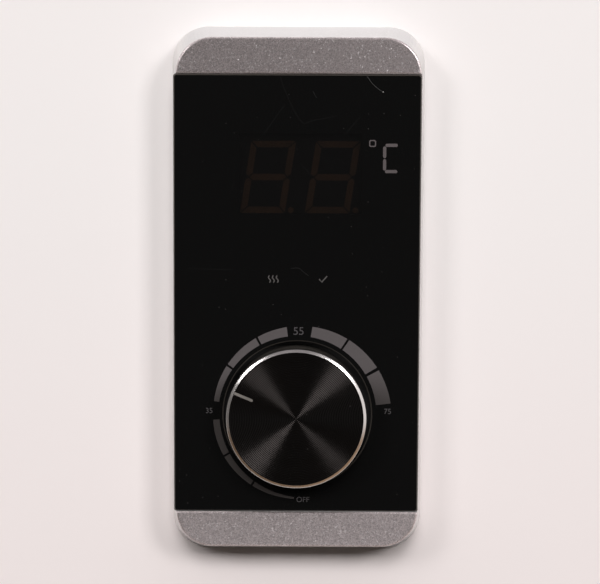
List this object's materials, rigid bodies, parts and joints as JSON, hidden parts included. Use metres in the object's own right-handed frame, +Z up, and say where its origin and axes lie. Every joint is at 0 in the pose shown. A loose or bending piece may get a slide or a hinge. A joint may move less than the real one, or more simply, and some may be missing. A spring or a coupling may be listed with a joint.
{
  "type": "water heater control panel",
  "caption": "Upright control panel with a silver bezel, black glass front, two-digit display and a rotary temperature knob, fixed to a shell from behind.",
  "frame": {"origin": "centre of the pattern of mounting holes, on the plane where the rim meets the shell", "axes": "+X to the right seen from the front, +Y back into the appliance, +Z up; the face looks towards -Y"},
  "size_m": [0.0716, 0.0359, 0.1504],
  "materials": {
    "silver_paint": "plastic with a sparkling silver metallic paint",
    "smoked_glass": "black printed glass, polished",
    "black_foil": "black adhesive foil",
    "black_moulding": "fine-grained black moulding",
    "white_moulding": "white moulded plastic",
    "cover_moulding": "light grey moulded plastic, fine grain",
    "zinc_steel": "zinc-plated steel",
    "display_case": "dark grey display case",
    "segment_resin": "tinted clear resin, unlit",
    "clear_resin": "milky clear resin",
    "tinned_metal": "tinned",
    "circuit_board": "green solder mask",
    "chip_resin": "black moulded resin",
    "capacitor_sleeve": "dark shrink sleeve",
    "plated_can": "plated steel can",
    "carbon_track": "carbon film",
    "cast_zinc": "die-cast zinc",
    "knob_black": "polished black plastic",
    "bright_chrome": "bright chrome",
    "spun_black": "black anodised aluminium, turned in fine rings",
    "pointer_silver": "satin silver line",
    "shaft_metal": "turned aluminium",
    "brush_bronze": "sprung bronze"
  },
  "bodies": {
    "panel": {"front_housing": "silver_paint", "glass_panel": "smoked_glass", "glass_tape": "black_foil", "inner_chassis": "black_moulding", "chassis_screws": "zinc_steel", "display_module": "display_case", "display_segments": "segment_resin", "display_pins": "tinned_metal", "display_spacer": "white_moulding", "unit_light_guide": "clear_resin", "legend_light_guides": "clear_resin", "indicator_leds": "white_moulding", "control_board": "circuit_board", "board_screws": "zinc_steel", "microcontroller": "chip_resin", "display_driver": "chip_resin", "filter_capacitor": "capacitor_sleeve", "chip_resistors": "chip_resin", "harness_connector": "white_moulding", "connector_pins": "tinned_metal", "potentiometer_case": "plated_can", "potentiometer_track": "carbon_track", "potentiometer_terminals": "tinned_metal", "potentiometer_bush": "cast_zinc", "potentiometer_washer": "zinc_steel", "potentiometer_nut": "zinc_steel", "rear_cover": "cover_moulding", "cover_screws": "zinc_steel"},
    "knob": {"knob_body": "knob_black", "knob_trim_ring": "bright_chrome", "knob_face": "spun_black", "knob_pointer": "pointer_silver", "knob_spring": "zinc_steel", "potentiometer_shaft": "shaft_metal", "potentiometer_wiper": "brush_bronze"}
  },
  "joints": [
    {"name": "knob_turn", "type": "hinge", "parent": "panel", "child": "knob", "pos_m": [-0.0003, -0.0127, -0.034], "axis": [0, 1, 0], "range_deg": [-115, 155]}
  ]
}
